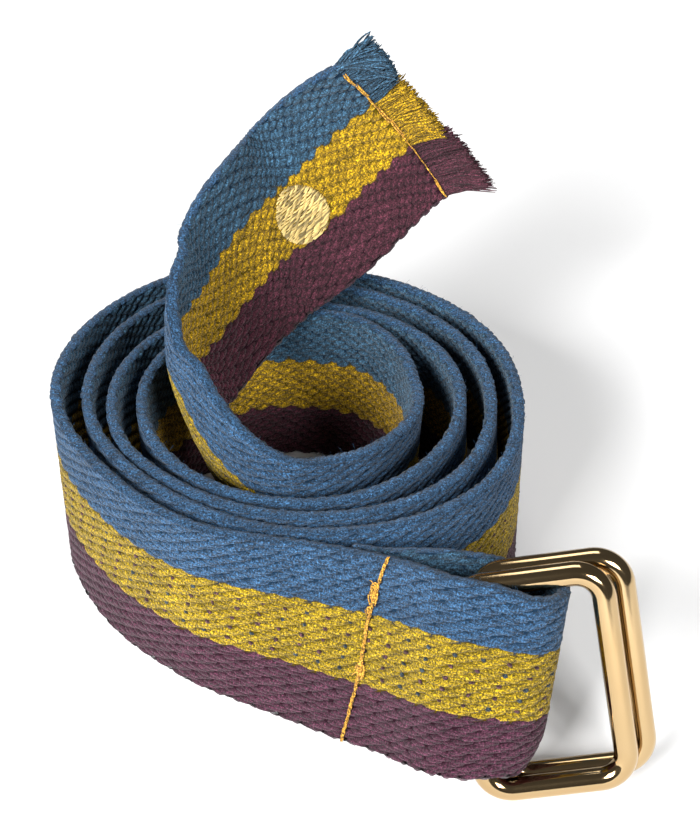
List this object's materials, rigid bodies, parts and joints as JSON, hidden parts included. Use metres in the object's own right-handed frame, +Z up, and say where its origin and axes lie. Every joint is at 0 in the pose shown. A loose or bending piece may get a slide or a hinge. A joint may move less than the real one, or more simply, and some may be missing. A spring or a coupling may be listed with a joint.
{
  "type": "fabric belt with double ring buckle",
  "caption": "Striped woven webbing belt, coiled on its edge, with two wire rings in a sewn loop and a frayed tip rising from the coil.",
  "frame": {"origin": "on the surface that the belt stands on, under the middle of its box", "axes": "+Z up; +X towards the rings; -Y towards the front, where the loop passes over the coil"},
  "size_m": [0.1128, 0.1228, 0.096],
  "materials": {
    "webbing": "coarse twill webbing in three stripes: blue, mustard and plum",
    "ring_metal": "polished pale gold plating",
    "plum_yarn": "frayed cotton yarn",
    "mustard_yarn": "frayed cotton yarn",
    "blue_yarn": "frayed cotton yarn",
    "gold_thread": "lustrous embroidery and sewing thread"
  },
  "bodies": {
    "root": {"webbing": "webbing", "ring_near": "ring_metal", "ring_far": "ring_metal", "fringe_plum": "plum_yarn", "fringe_mustard": "mustard_yarn", "fringe_blue": "blue_yarn", "embroidered_dot": "gold_thread"}
  },
  "joints": []
}
